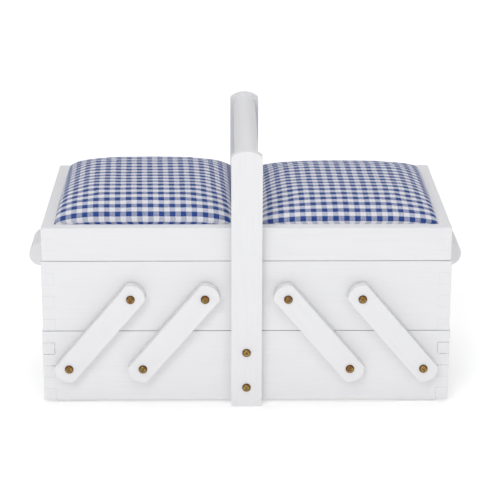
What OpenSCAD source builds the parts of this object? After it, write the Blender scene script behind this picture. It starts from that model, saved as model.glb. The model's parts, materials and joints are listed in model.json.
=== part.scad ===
// Wooden sewing box: an open base box, two trays that swing out to the left and right on
// parallel arms, a padded lid hinged on each tray, and a fixed carrying handle over the middle.
// Left is -X, the front is -Y, and Z is 0 on the surface that the box stands on. Millimetres.

/* [Box] */
// Width of the base box
base_w = 402; // [380:1:440]
// Depth of the base box
base_d = 220; // [200:1:240]
// Height of the base box, without its feet
base_h = 73; // [68:1:80]
// Height of each tray
tray_h = 72; // [66:1:80]
// Height of each lid's frame
lid_h = 33.5; // [30:0.5:40]
// Thickness of every wall
wall_t = 12; // [10:0.5:13]
// Thickness of the plywood floors and lid panels
panel_t = 4; // [3:0.5:5]
// Thickness of the dividers in the trays
divider_t = 6; // [4:0.5:8]
// Height of the feet
foot_h = 3.5; // [2:0.5:5]

/* [Arms] */
// Distance from the middle of the box to the outer lower pivots
outer_pivot_x = 174.5; // [165:0.5:180]
// Distance from the middle of the box to the inner lower pivots
inner_pivot_x = 102; // [98:0.5:110]
// Sideways distance from an arm's lower pivot to its upper pivot
arm_dx = 61.5; // [56:0.5:64]
// Height of the lower pivots above the base box's underside
pivot_up = 37; // [32:0.5:40]
// Width of an arm
arm_w = 23.5; // [20:0.5:26]
// Thickness of an arm
arm_t = 10; // [6:0.5:12]
// Radius of an arm's rounded ends
arm_end_r = 14.2; // [14:0.1:16]

/* [Handle] */
// Width of the two uprights
upright_w = 30; // [26:1:34]
// Thickness of the uprights
upright_t = 10; // [9:0.5:12]
// Height of the top of the uprights
upright_top = 262.5; // [255:0.5:280]
// Radius of the uprights' rounded tops
upright_end_r = 23; // [18:1:30]
// Diameter of the round grip between the uprights
grip_dia = 23; // [21:1:25]

/* [Lids and pulls] */
// Height of the left cushion's crown above its lid's frame
left_crown = 23.5; // [16:0.5:28]
// Height of the right cushion's crown above its lid's frame
right_crown = 20; // [16:0.5:28]
// Diameter of the round pull on each tray
pull_dia = 24; // [20:1:26]
// Length of each pull
pull_len = 52; // [40:1:80]
// Height of a pull's middle above its tray's underside
pull_up = 50.5; // [46:0.5:54]
// Distance from a pull's middle to the wall that it is glued to
pull_out = 8.5; // [6:0.5:10]

/* [Hidden] */
$fn = 64;

PAINT = [0.93, 0.93, 0.94];
PLYWOOD = [0.87, 0.83, 0.76];
YELLOW_ZINC = [0.62, 0.48, 0.22];
BRASS = [0.80, 0.66, 0.36];
GINGHAM = [0.45, 0.52, 0.72];

LEFT = -1;
RIGHT = 1;
FRONT = -1;
BACK = 1;

// Gaps: the seams between box, trays and lids, a glued-in panel in its groove, and moving faces.
seam = 0.5;
glue_gap = 0.1;
face_gap = 0.1;
middle_gap = 1;

// Each storey stands back from the one below by this much on every side.
step_in = 1;
depth_step = 0.5;

// Levels, from the surface that the box stands on.
base_z0 = foot_h;
base_z1 = base_z0 + base_h;
tray_z0 = base_z1 + seam;
tray_z1 = tray_z0 + tray_h;
lid_z0 = tray_z1 + seam;
lid_z1 = lid_z0 + lid_h;

// Outer faces of each storey.
tray_x = base_w / 2 - step_in;
lid_x = tray_x - step_in;
base_y = base_d / 2;
tray_y = base_y - depth_step;
lid_y = tray_y - depth_step;

// A box is [x0, x1, y0, y1, z0, z1]. Trays and lids are drawn for the left side, and mirrored.
base_box = [-base_w / 2, base_w / 2, -base_y, base_y, base_z0, base_z1];
tray_box = [-tray_x, -middle_gap / 2, -tray_y, tray_y, tray_z0, tray_z1];
lid_box = [-lid_x, -middle_gap / 2 - depth_step, -lid_y, lid_y, lid_z0, lid_z1];
box_fingers = 6;
lid_fingers = 3;

// Floors and lid panels stand in grooves.
groove_d = 5;
base_floor_z = base_z0 + 5;
tray_floor_z = tray_z0 + 4;
panel_drop = 7;
lid_panel_z = lid_z1 - panel_drop - panel_t;
divider_z0 = tray_floor_z + panel_t + glue_gap;
divider_z1 = tray_z1 - 12;
divider_x = (tray_box[0] + tray_box[1]) / 2;
dado_d = 2;

// Pivots.
pivot_z = base_z0 + pivot_up;
arm_dz = tray_z0 - base_z0 - seam;
arm_len = norm([arm_dx, arm_dz]);
arm_gap = 0.5;
arm_y = base_y + arm_gap;
pivot_shank_r = 2;
running_gap = 0.05;
open_pivot_gap = 0.2;
pilot_gap = 0.02;
pan_head_r = 4.2;
pan_head_h = 2.7;
in_wall = 10;
washer_r = 5.5;

// Handle.
screw_low_z = 20.5;
screw_high_z = 57.5;
grip_z = upright_top - grip_dia / 2 - 1.5;
tenon_r = 6;
tenon_len = 7;

// Feet.
foot_l = 36;
foot_d = 24;
foot_in_x = 13;
foot_in_y = 3;

// Lid hinges: the axis runs along the seam, just outside the tray's outer end.
hinge_ys = [-50, 50];
hinge_len = 32;
hinge_mid = 12;
leaf_t = 0.9;
leaf_in = 9;
knuckle_r = 1.9;
hinge_pin_r = 0.9;
hinge_x = tray_x + knuckle_r + 0.1;
hinge_z = (tray_z1 + lid_z0) / 2;
hinge_screw_r = 1.1;
hinge_screw_head_r = 2;
hinge_screw_len = 8;
hinge_screw_ys = [-10, 10];

// Cushions: how far in the crown goes on rising, how it flattens, and how steep its edge is.
cushion_gap = 0.4;
crown_reach = 60;
crown_power = 2.2;
crown_root = 0.4;
corner_steps = 6;

overcut = 1;

// ---- Helpers ----

// Draws its children for the left side, or mirrored for the right side.
module on_side(side) {
    if (side == LEFT) children();
    else mirror([1, 0, 0]) children();
}

// A block between two corners.
module block(x0, x1, y0, y1, z0, z1) {
    translate([x0, y0, z0]) cube([x1 - x0, y1 - y0, z1 - z0]);
}

// Turns a shape that points along +Z so that it points out of the front or back face at x, z.
module facing(x, y, z, face) {
    translate([x, face * y, z]) rotate([-face * 90, 0, 0]) children();
}

// ---- Joinery ----

// The slots that fingers 0, 2, 4 or 1, 3, 5 from the top leave in one corner of a box.
module finger_slots(b, n, first, x0, x1, y0, y1) {
    pitch = (b[5] - b[4]) / n;
    for (i = [first : 2 : n - 1]) {
        below = i == n - 1 ? overcut : 0;
        above = i == 0 ? overcut : 0;
        top = b[5] - i * pitch;
        block(x0, x1, y0, y1, top - pitch - below, top + above);
    }
}

// The front or back wall of a box, with the end walls' fingers let into it.
module long_wall(b, n, face) {
    y = face == FRONT ? b[2] : b[3] - wall_t;
    difference() {
        block(b[0], b[1], y, y + wall_t, b[4], b[5]);
        finger_slots(b, n, 1, b[0] - overcut, b[0] + wall_t, y - overcut, y + wall_t + overcut);
        finger_slots(b, n, 1, b[1] - wall_t, b[1] + overcut, y - overcut, y + wall_t + overcut);
    }
}

// The left or right wall of a box, with the long walls' fingers let into it.
module end_wall(b, n, side) {
    x = side == LEFT ? b[0] : b[1] - wall_t;
    difference() {
        block(x, x + wall_t, b[2], b[3], b[4], b[5]);
        finger_slots(b, n, 0, x - overcut, x + wall_t + overcut, b[2] - overcut, b[2] + wall_t);
        finger_slots(b, n, 0, x - overcut, x + wall_t + overcut, b[3] - wall_t, b[3] + overcut);
    }
}

// A plywood panel with its edges in the walls' grooves. The groove itself is the panel, grown.
module inset_panel(b, z, grow = 0) {
    reach = wall_t - groove_d - grow;
    block(b[0] + reach, b[1] - reach, b[2] + reach, b[3] - reach, z - grow, z + panel_t + grow);
}

module tray_divider_board(grow = 0) {
    half = divider_t / 2 + grow;
    reach = wall_t - dado_d - grow;
    block(divider_x - half, divider_x + half, tray_box[2] + reach, tray_box[3] - reach,
        divider_z0, divider_z1 + grow);
}

// ---- Fasteners ----

// A pan-head screw with a cross recess, along Z, with its head above 0.
module pan_screw(length) {
    recess_w = 1.1;
    recess_l = 4.4;
    recess_d = 1.8;
    difference() {
        union() {
            translate([0, 0, -length]) cylinder(h = length + 0.5, r = pivot_shank_r);
            intersection() {
                cylinder(h = pan_head_h, r = pan_head_r);
                translate([0, 0, -pan_head_r * 0.62]) sphere(r = pan_head_r * 1.26);
            }
        }
        for (turn = [0, 90])
            rotate([0, 0, turn + 20])
                translate([-recess_l / 2, -recess_w / 2, pan_head_h - recess_d]) cube([recess_l, recess_w, 3]);
    }
}

module washer(thickness) {
    difference() {
        cylinder(h = thickness, r = washer_r);
        translate([0, 0, -overcut]) cylinder(h = thickness + 2 * overcut, r = pivot_shank_r + running_gap);
    }
}

// A pilot hole that a pan-head screw fills, from a wall's outer face at z 0 inwards.
module pilot_hole() {
    translate([0, 0, -in_wall - 0.5]) cylinder(h = in_wall + 0.5 + overcut, r = pivot_shank_r + pilot_gap);
}

// ---- Base ----

module base_long_wall(face) {
    color(PAINT) difference() {
        long_wall(base_box, box_fingers, face);
        inset_panel(base_box, base_floor_z, glue_gap);
        for (x = [outer_pivot_x, inner_pivot_x], side = [LEFT, RIGHT])
            facing(side * x, base_y, pivot_z, face) pilot_hole();
        for (z = [screw_low_z, screw_high_z])
            facing(0, base_y, z, face) pilot_hole();
    }
}

module base_end(side) {
    color(PAINT) difference() {
        end_wall(base_box, box_fingers, side);
        inset_panel(base_box, base_floor_z, glue_gap);
    }
}

module base_floor() {
    color(PLYWOOD) inset_panel(base_box, base_floor_z);
}

module base_feet() {
    x = base_w / 2 - foot_in_x - foot_l / 2;
    y = base_y - foot_in_y - foot_d / 2;
    color(PAINT)
        for (sx = [LEFT, RIGHT], sy = [FRONT, BACK])
            translate([sx * x - foot_l / 2, sy * y - foot_d / 2, 0]) cube([foot_l, foot_d, foot_h]);
}

module base_pivot_screws() {
    y = arm_y + arm_t + face_gap;
    color(YELLOW_ZINC)
        for (x = [outer_pivot_x, inner_pivot_x], side = [LEFT, RIGHT], face = [FRONT, BACK])
            facing(side * x, y, pivot_z, face) pan_screw(y - base_y + in_wall);
}

module base_pivot_washers() {
    color(YELLOW_ZINC)
        for (x = [outer_pivot_x, inner_pivot_x], side = [LEFT, RIGHT], face = [FRONT, BACK])
            facing(side * x, base_y, pivot_z, face) washer(arm_y - base_y - face_gap);
}

// ---- Handle ----

module upright_outline() {
    shoulder = upright_top - upright_end_r;
    intersection() {
        translate([-upright_w / 2, 0]) square([upright_w, upright_top]);
        union() {
            translate([0, shoulder]) circle(r = upright_end_r);
            translate([-upright_w / 2, 0]) square([upright_w, shoulder]);
        }
    }
}

module handle_upright(face) {
    color(PAINT) difference() {
        translate([0, face == FRONT ? -base_y : base_y + upright_t, 0])
            rotate([90, 0, 0]) linear_extrude(upright_t) upright_outline();
        facing(0, base_y - overcut, grip_z, face)
            cylinder(h = tenon_len + overcut + glue_gap, r = tenon_r + running_gap);
        for (z = [screw_low_z, screw_high_z])
            facing(0, base_y - overcut, z, face)
                cylinder(h = upright_t + 2 * overcut, r = pivot_shank_r + open_pivot_gap);
    }
}

module handle_crossbar() {
    color(PAINT) translate([0, 0, grip_z]) rotate([90, 0, 0]) {
        cylinder(h = 2 * base_y, r = grip_dia / 2, center = true);
        cylinder(h = 2 * (base_y + tenon_len), r = tenon_r, center = true);
    }
}

module handle_screws() {
    color(YELLOW_ZINC)
        for (z = [screw_low_z, screw_high_z], face = [FRONT, BACK])
            facing(0, base_y + upright_t, z, face) pan_screw(upright_t + in_wall);
}

// ---- Arms ----

// An arm lying along +X from its lower pivot, with both pivot holes.
module arm_outline(upper_gap) {
    difference() {
        intersection() {
            translate([-arm_end_r, -arm_w / 2]) square([arm_len + 2 * arm_end_r, arm_w]);
            union() {
                circle(r = arm_end_r);
                translate([arm_len, 0]) circle(r = arm_end_r);
                translate([0, -arm_w / 2]) square([arm_len, arm_w]);
            }
        }
        circle(r = pivot_shank_r + running_gap);
        translate([arm_len, 0]) circle(r = pivot_shank_r + upper_gap);
    }
}

// The inner arms' upper pivots are where the four-bar linkage is left open, with more clearance.
module arm(side, pivot_x, face) {
    upper_gap = pivot_x == inner_pivot_x ? open_pivot_gap : running_gap;
    color(PAINT) on_side(side)
        translate([-pivot_x, face == FRONT ? -arm_y : arm_y + arm_t, pivot_z])
            rotate([90, 0, 0]) linear_extrude(arm_t)
                rotate(atan2(arm_dz, arm_dx)) arm_outline(upper_gap);
}

// ---- Trays, drawn for the left side ----

module tray_pivots() {
    for (x = [outer_pivot_x, inner_pivot_x]) translate([arm_dx - x, 0, pivot_z + arm_dz]) children();
}

module tray_long_wall(side, face) {
    color(PAINT) on_side(side) difference() {
        long_wall(tray_box, box_fingers, face);
        inset_panel(tray_box, tray_floor_z, glue_gap);
        tray_divider_board(glue_gap);
        tray_pivots() facing(0, tray_y, 0, face) pilot_hole();
    }
}

module tray_outer_end(side) {
    color(PAINT) on_side(side) difference() {
        end_wall(tray_box, box_fingers, LEFT);
        inset_panel(tray_box, tray_floor_z, glue_gap);
        hinge_recess(tray_z1 - (hinge_z - face_gap - leaf_t), tray_z1, -1);
        hinge_screw_places(-1) hinge_pilot();
    }
}

module tray_inner_end(side) {
    color(PAINT) on_side(side) difference() {
        end_wall(tray_box, box_fingers, RIGHT);
        inset_panel(tray_box, tray_floor_z, glue_gap);
    }
}

module tray_floor(side) {
    color(PLYWOOD) on_side(side) inset_panel(tray_box, tray_floor_z);
}

module tray_divider(side) {
    color(PAINT) on_side(side) tray_divider_board();
}

module tray_pivot_screws(side) {
    y = arm_y + arm_t + face_gap;
    color(YELLOW_ZINC) on_side(side)
        tray_pivots() for (face = [FRONT, BACK]) facing(0, y, 0, face) pan_screw(y - tray_y + in_wall);
}

module tray_pivot_washers(side) {
    color(YELLOW_ZINC) on_side(side)
        tray_pivots() for (face = [FRONT, BACK]) facing(0, tray_y, 0, face) washer(arm_y - tray_y - face_gap);
}

// A round bar with a flat along it, glued to the tray's outer end.
module tray_pull(side) {
    color(PAINT) on_side(side) difference() {
        translate([-tray_x - pull_out, pull_len / 2, tray_z0 + pull_up])
            rotate([90, 0, 0]) cylinder(h = pull_len, r = pull_dia / 2);
        block(-tray_x, -tray_x + pull_dia, -pull_len, pull_len, tray_z0, tray_z1);
    }
}

// ---- Lid hinges, drawn for the left side ----

// The shallow recess for each leaf, cut down from z for the tray, or up from z for the lid.
module hinge_recess(depth, z, way) {
    for (y = hinge_ys)
        translate([-hinge_x, y - hinge_len / 2 - glue_gap, way < 0 ? z - depth : z - overcut])
            cube([hinge_x - tray_x + leaf_in + glue_gap, hinge_len + 2 * glue_gap, depth + overcut]);
}

// Where the leaves' screws stand, with way -1 pointing down into the tray and 1 up into the lid.
module hinge_screw_places(way) {
    for (y = hinge_ys, dy = hinge_screw_ys)
        translate([-tray_x + leaf_in / 2 + 0.5, y + dy, hinge_z + way * face_gap])
            rotate([way < 0 ? 0 : 180, 0, 0]) children();
}

// A countersunk screw along -Z, with its head flush at 0.
module countersunk_screw() {
    translate([0, 0, -hinge_screw_len]) cylinder(h = hinge_screw_len, r = hinge_screw_r);
    translate([0, 0, -leaf_t]) cylinder(h = leaf_t, r1 = hinge_screw_r, r2 = hinge_screw_head_r);
}

module hinge_pilot() {
    translate([0, 0, -hinge_screw_len - glue_gap]) cylinder(h = hinge_screw_len, r = hinge_screw_r + pilot_gap);
}

module countersink() {
    translate([0, 0, -leaf_t - glue_gap])
        cylinder(h = leaf_t + 2 * glue_gap, r1 = hinge_screw_r, r2 = hinge_screw_head_r + glue_gap);
}

module knuckle(y0, y1, bore_r) {
    translate([-hinge_x, y1, hinge_z]) rotate([90, 0, 0]) difference() {
        cylinder(h = y1 - y0, r = knuckle_r);
        translate([0, 0, -overcut]) cylinder(h = y1 - y0 + 2 * overcut, r = bore_r);
    }
}

// The plate of a leaf. Where the other leaf's knuckle turns, it starts at the wall's face.
module leaf_plate(y, way, knuckle_spans) {
    z0 = way < 0 ? hinge_z - face_gap - leaf_t : hinge_z + face_gap;
    difference() {
        union() {
            block(-tray_x, -tray_x + leaf_in, y - hinge_len / 2, y + hinge_len / 2, z0, z0 + leaf_t);
            for (s = knuckle_spans)
                block(-hinge_x, -tray_x + 1, y + s[0], y + s[1], z0, z0 + leaf_t);
        }
        translate([-hinge_x, y + hinge_len, hinge_z]) rotate([90, 0, 0])
            cylinder(h = 2 * hinge_len, r = hinge_pin_r + running_gap);
        hinge_screw_places(way) countersink();
    }
}

// Two outer knuckles on the tray's leaf hold the pin, and the lid's middle knuckle turns on it.
module tray_hinge_leaves(side) {
    inner = hinge_mid / 2 + face_gap;
    spans = [[-hinge_len / 2, -inner], [inner, hinge_len / 2]];
    color(BRASS) on_side(side)
        for (y = hinge_ys) {
            leaf_plate(y, -1, spans);
            for (s = spans) knuckle(y + s[0], y + s[1], hinge_pin_r + pilot_gap);
        }
}

module lid_hinge_leaves(side) {
    span = [-hinge_mid / 2, hinge_mid / 2];
    color(BRASS) on_side(side)
        for (y = hinge_ys) {
            leaf_plate(y, 1, [span]);
            knuckle(y + span[0], y + span[1], hinge_pin_r + running_gap);
        }
}

module hinge_pins(side) {
    color(BRASS) on_side(side)
        for (y = hinge_ys)
            translate([-hinge_x, y + hinge_len / 2, hinge_z]) rotate([90, 0, 0])
                cylinder(h = hinge_len, r = hinge_pin_r);
}

module hinge_screws(side, way) {
    color(BRASS) on_side(side) hinge_screw_places(way) countersunk_screw();
}

// ---- Lids, drawn for the left side ----

module lid_long_rail(side, face) {
    color(PAINT) on_side(side) difference() {
        long_wall(lid_box, lid_fingers, face);
        inset_panel(lid_box, lid_panel_z, glue_gap);
    }
}

module lid_outer_rail(side) {
    color(PAINT) on_side(side) difference() {
        end_wall(lid_box, lid_fingers, LEFT);
        inset_panel(lid_box, lid_panel_z, glue_gap);
        hinge_recess(hinge_z + face_gap + leaf_t - lid_z0, lid_z0, 1);
        hinge_screw_places(1) hinge_pilot();
    }
}

module lid_inner_rail(side) {
    color(PAINT) on_side(side) difference() {
        end_wall(lid_box, lid_fingers, RIGHT);
        inset_panel(lid_box, lid_panel_z, glue_gap);
    }
}

module lid_panel(side) {
    color(PLYWOOD) on_side(side) inset_panel(lid_box, lid_panel_z);
}

// The points of one level of the cushion: the lid's opening, taken in, with round corners.
function cushion_ring(level) = [
    for (corner = [0 : 3], step = [0 : corner_steps])
        let (turn = 90 * (corner + step / corner_steps),
            r = level[2],
            inset = wall_t + cushion_gap + level[1] + r,
            x = corner == 0 || corner == 3 ? lid_box[1] - inset : lid_box[0] + inset,
            y = corner < 2 ? lid_box[3] - inset : lid_box[2] + inset)
        [x + r * cos(turn), y + r * sin(turn), level[0]]
];

// The upholstered pad: an upright edge in the lid's recess, and a crown that flattens inwards.
module lid_cushion(side) {
    n = 4 * (corner_steps + 1);
    rise = side == LEFT ? left_crown : right_crown;
    crown = [for (step = [0 : 0.125 : 1]) let (t = step * step)
        [lid_z1 + rise * pow(1 - pow(1 - t, crown_power), crown_root), crown_reach * t, 2 + 10 * t]];
    levels = concat([[lid_panel_z + panel_t + glue_gap, 0, 2]], crown);
    top = n * (len(levels) - 1);
    sides = [for (first = [0 : n : top - n], i = [0 : n - 1])
        let (a = first + i, b = first + (i + 1) % n) each [[a, a + n, b], [b, a + n, b + n]]];
    color(GINGHAM) on_side(side)
        polyhedron([for (level = levels) each cushion_ring(level)],
            concat([[for (i = [0 : n - 1]) i]], sides, [[for (i = [0 : n - 1]) top + n - 1 - i]]));
}

base_long_wall(FRONT);  // base_front_panel
base_long_wall(BACK);  // base_back_panel
base_end(LEFT);  // base_left_end
base_end(RIGHT);  // base_right_end
base_floor();
base_feet();
handle_upright(FRONT);  // handle_front_upright
handle_upright(BACK);  // handle_back_upright
handle_crossbar();
handle_screws();
base_pivot_screws();
base_pivot_washers();
arm(LEFT, outer_pivot_x, FRONT);  // left_outer_front_arm
arm(LEFT, outer_pivot_x, BACK);  // left_outer_back_arm
arm(LEFT, inner_pivot_x, FRONT);  // left_inner_front_arm
arm(LEFT, inner_pivot_x, BACK);  // left_inner_back_arm
arm(RIGHT, outer_pivot_x, FRONT);  // right_outer_front_arm
arm(RIGHT, outer_pivot_x, BACK);  // right_outer_back_arm
arm(RIGHT, inner_pivot_x, FRONT);  // right_inner_front_arm
arm(RIGHT, inner_pivot_x, BACK);  // right_inner_back_arm
tray_long_wall(LEFT, FRONT);  // left_tray_front_panel
tray_long_wall(LEFT, BACK);  // left_tray_back_panel
tray_outer_end(LEFT);  // left_tray_outer_end
tray_inner_end(LEFT);  // left_tray_inner_end
tray_floor(LEFT);  // left_tray_floor
tray_divider(LEFT);  // left_tray_divider
tray_pivot_screws(LEFT);  // left_tray_pivot_screws
tray_pivot_washers(LEFT);  // left_tray_pivot_washers
tray_pull(LEFT);  // left_tray_pull
tray_hinge_leaves(LEFT);  // left_tray_hinge_leaves
hinge_pins(LEFT);  // left_hinge_pins
hinge_screws(LEFT, -1);  // left_tray_hinge_screws
lid_long_rail(LEFT, FRONT);  // left_lid_front_rail
lid_long_rail(LEFT, BACK);  // left_lid_back_rail
lid_outer_rail(LEFT);  // left_lid_outer_rail
lid_inner_rail(LEFT);  // left_lid_inner_rail
lid_panel(LEFT);  // left_lid_panel
lid_cushion(LEFT);  // left_lid_cushion
lid_hinge_leaves(LEFT);  // left_lid_hinge_leaves
hinge_screws(LEFT, 1);  // left_lid_hinge_screws
tray_long_wall(RIGHT, FRONT);  // right_tray_front_panel
tray_long_wall(RIGHT, BACK);  // right_tray_back_panel
tray_outer_end(RIGHT);  // right_tray_outer_end
tray_inner_end(RIGHT);  // right_tray_inner_end
tray_floor(RIGHT);  // right_tray_floor
tray_divider(RIGHT);  // right_tray_divider
tray_pivot_screws(RIGHT);  // right_tray_pivot_screws
tray_pivot_washers(RIGHT);  // right_tray_pivot_washers
tray_pull(RIGHT);  // right_tray_pull
tray_hinge_leaves(RIGHT);  // right_tray_hinge_leaves
hinge_pins(RIGHT);  // right_hinge_pins
hinge_screws(RIGHT, -1);  // right_tray_hinge_screws
lid_long_rail(RIGHT, FRONT);  // right_lid_front_rail
lid_long_rail(RIGHT, BACK);  // right_lid_back_rail
lid_outer_rail(RIGHT);  // right_lid_outer_rail
lid_inner_rail(RIGHT);  // right_lid_inner_rail
lid_panel(RIGHT);  // right_lid_panel
lid_cushion(RIGHT);  // right_lid_cushion
lid_hinge_leaves(RIGHT);  // right_lid_hinge_leaves
hinge_screws(RIGHT, 1);  // right_lid_hinge_screws
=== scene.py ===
import json
import math
from contextlib import contextmanager

import bmesh
import bpy
import numpy as np
from bpy.props import FloatProperty, FloatVectorProperty, PointerProperty
from bpy.types import Operator, Panel, PropertyGroup
from mathutils import Matrix, Vector, noise


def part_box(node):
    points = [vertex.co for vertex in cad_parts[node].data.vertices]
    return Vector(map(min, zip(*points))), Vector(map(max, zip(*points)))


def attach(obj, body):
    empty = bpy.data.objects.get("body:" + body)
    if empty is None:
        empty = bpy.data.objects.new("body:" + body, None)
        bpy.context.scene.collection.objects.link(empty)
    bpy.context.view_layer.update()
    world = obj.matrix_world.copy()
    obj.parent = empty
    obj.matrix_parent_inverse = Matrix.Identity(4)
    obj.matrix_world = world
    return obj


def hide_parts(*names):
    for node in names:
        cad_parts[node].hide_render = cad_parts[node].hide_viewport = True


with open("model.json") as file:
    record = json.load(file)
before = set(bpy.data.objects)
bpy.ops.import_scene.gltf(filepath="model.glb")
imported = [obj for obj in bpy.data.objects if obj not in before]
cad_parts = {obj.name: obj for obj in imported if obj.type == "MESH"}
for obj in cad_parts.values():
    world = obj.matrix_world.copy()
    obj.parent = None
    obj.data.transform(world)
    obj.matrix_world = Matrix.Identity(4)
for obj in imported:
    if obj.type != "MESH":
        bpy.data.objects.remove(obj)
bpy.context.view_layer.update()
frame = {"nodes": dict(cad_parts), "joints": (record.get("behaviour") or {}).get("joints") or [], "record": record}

bl_info = {
    "name": "Sewing box finish",
    "version": (1, 0, 0),
    "blender": (4, 5, 0),
    "location": "3D View > Sidebar > Sewing Box",
    "description": "Paints the box, covers the lids' cushions in gingham and fits the screws and hinges",
    "category": "Object",
}

# Everything is in metres. Left is -X, the front is -Y, and Z is 0 where the box stands.
SIDES = {"left": -1, "right": 1}
BODY_OF = {node: body for body, nodes in frame["record"]["behaviour"]["bodies"].items() for node in nodes}
PIVOT = {joint["name"]: Vector(joint["pos_m"]) for joint in frame["joints"]}
ARM_LEAN = (PIVOT["left_tray_level"] - PIVOT["left_swing"]).normalized()
GRAIN_ROTATION = {
    "x": (0, 0, 0),
    "y": (0, 0, math.pi / 2),
    "z": (0, -math.pi / 2, 0),
    "left_arm": (0, -math.atan2(ARM_LEAN.z, ARM_LEAN.x), 0),
    "right_arm": (0, -math.atan2(ARM_LEAN.z, -ARM_LEAN.x), 0),
}
TOUCH = 2e-5


# ---- Sizes and colours that a user would change ----


class PaintSettings(PropertyGroup):
    colour: FloatVectorProperty(
        name="Paint", description="Colour of the satin paint", subtype="COLOR", size=3, min=0, max=1,
        default=(0.80, 0.80, 0.815))
    bare_wood: FloatVectorProperty(
        name="Bare wood", description="Colour where a joint has cracked the paint", subtype="COLOR", size=3,
        min=0, max=1, default=(0.10, 0.055, 0.035))
    corner_round: FloatProperty(
        name="Corner rounding", description="Rounding of the boxes' upright corners", subtype="DISTANCE",
        unit="LENGTH", default=0.0007, min=0, max=0.003)
    rim_round: FloatProperty(
        name="Rim rounding", description="Rounding of the rims that meet", subtype="DISTANCE", unit="LENGTH",
        default=0.0003, min=0, max=0.002)
    arm_round: FloatProperty(
        name="Arm rounding", description="Rounding of the arms' and the uprights' long edges",
        subtype="DISTANCE", unit="LENGTH", default=0.00035, min=0, max=0.002)
    joint_width: FloatProperty(
        name="Joint lines", description="Width of the groove along one side of a finger joint",
        subtype="DISTANCE", unit="LENGTH", default=0.00024, min=0, max=0.001)


class CushionSettings(PropertyGroup):
    blue: FloatVectorProperty(
        name="Blue yarn", description="Colour of the gingham's blue yarn", subtype="COLOR", size=3, min=0,
        max=1, default=(0.011, 0.054, 0.270))
    white: FloatVectorProperty(
        name="White yarn", description="Colour of the gingham's white yarn", subtype="COLOR", size=3, min=0,
        max=1, default=(0.84, 0.84, 0.88))
    repeat: FloatProperty(
        name="Repeat", description="One blue and one white stripe together", subtype="DISTANCE",
        unit="LENGTH", default=0.01065, min=0.004, max=0.05)
    yarn: FloatProperty(
        name="Yarn", description="Width of one yarn in the weave", subtype="DISTANCE", unit="LENGTH",
        default=0.000444, min=0.0002, max=0.002)
    weft_share: FloatProperty(
        name="Weft share", description="How far the yarns across the cushion hide the others",
        subtype="FACTOR", default=0.25, min=0, max=1)
    left_crown: FloatProperty(
        name="Left crown", description="Height of the left cushion above its lid", subtype="DISTANCE",
        unit="LENGTH", default=0.0242, min=0.01, max=0.028)
    right_crown: FloatProperty(
        name="Right crown", description="Height of the right cushion above its lid", subtype="DISTANCE",
        unit="LENGTH", default=0.0205, min=0.01, max=0.028)
    swell: FloatProperty(
        name="Swell", description="How far the filling may push the cover out", subtype="DISTANCE",
        unit="LENGTH", default=0.0015, min=0, max=0.01)


class MetalSettings(PropertyGroup):
    zinc: FloatVectorProperty(
        name="Yellow zinc", description="Colour of the screws' coating", subtype="COLOR", size=3, min=0,
        max=1, default=(0.50, 0.33, 0.10))
    brass: FloatVectorProperty(
        name="Brass", description="Colour of the lids' hinges", subtype="COLOR", size=3, min=0, max=1,
        default=(0.72, 0.53, 0.26))


class StageSettings(PropertyGroup):
    lens: FloatProperty(
        name="Lens", description="Focal length of the camera", subtype="DISTANCE_CAMERA", unit="CAMERA",
        default=127.47, min=20, max=300)
    floor: FloatVectorProperty(
        name="Floor", description="Colour of the floor", subtype="COLOR", size=3, min=0, max=1,
        default=(0.92, 0.92, 0.92))
    key_power: FloatProperty(
        name="Key light", description="Power of the large soft light", unit="POWER", default=17.2, min=0,
        max=1000)
    daylight: FloatProperty(
        name="Surround", description="Strength of the light from all round", default=0.37, min=0, max=3)


class SewingBoxSettings(PropertyGroup):
    paint: PointerProperty(type=PaintSettings, name="Paint", description="The painted boards")
    cushion: PointerProperty(type=CushionSettings, name="Cushions", description="The lids' cushions")
    metal: PointerProperty(type=MetalSettings, name="Metal", description="Screws and hinges")
    stage: PointerProperty(type=StageSettings, name="Stage", description="Camera, floor and lights")


def settings():
    return bpy.context.scene.sewing_box


# ---- Working with objects ----


def choose(piece):
    """Makes a piece the only one that is selected, and active."""
    if bpy.context.object and bpy.context.object.mode != "OBJECT":
        bpy.ops.object.mode_set(mode="OBJECT")
    bpy.ops.object.select_all(action="DESELECT")
    if piece:
        piece.select_set(True)
        bpy.context.view_layer.objects.active = piece


@contextmanager
def editing(piece, mode="EDGE", action="SELECT"):
    """Puts a piece in edit mode with everything selected, and leaves edit mode afterwards."""
    choose(piece)
    bpy.ops.object.mode_set(mode="EDIT")
    bpy.ops.mesh.select_mode(type=mode)
    bpy.ops.mesh.select_all(action=action)
    yield
    bpy.ops.object.mode_set(mode="OBJECT")


def pick(piece, kind, test):
    """In edit mode, selects just the parts that pass a test, and says how many there are."""
    bpy.ops.mesh.select_all(action="DESELECT")
    mesh = bmesh.from_edit_mesh(piece.data)
    chosen = [part for part in getattr(mesh, kind) if test(part)]
    for part in chosen:
        part.select_set(True)
    mesh.select_flush_mode()
    bmesh.update_edit_mesh(piece.data)
    return len(chosen)


def modify(piece, kind, **values):
    """Adds a modifier to a piece and applies it."""
    choose(piece)
    bpy.ops.object.modifier_add(type=kind)
    modifier = piece.modifiers[-1]
    for name, value in values.items():
        setattr(modifier, name, value)
    bpy.ops.object.modifier_apply(modifier=modifier.name)


def smooth(piece, angle=30):
    """Smooths a piece's soft edges, and keeps its flat faces flat."""
    choose(piece)
    bpy.ops.object.shade_smooth_by_angle(angle=math.radians(angle))
    modify(piece, "WEIGHTED_NORMAL", keep_sharp=True, weight=80)


def linked(name, mesh):
    """A new object in the scene, with its own copy of a mesh."""
    piece = bpy.data.objects.new(name, mesh.copy())
    bpy.context.scene.collection.objects.link(piece)
    return piece


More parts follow.
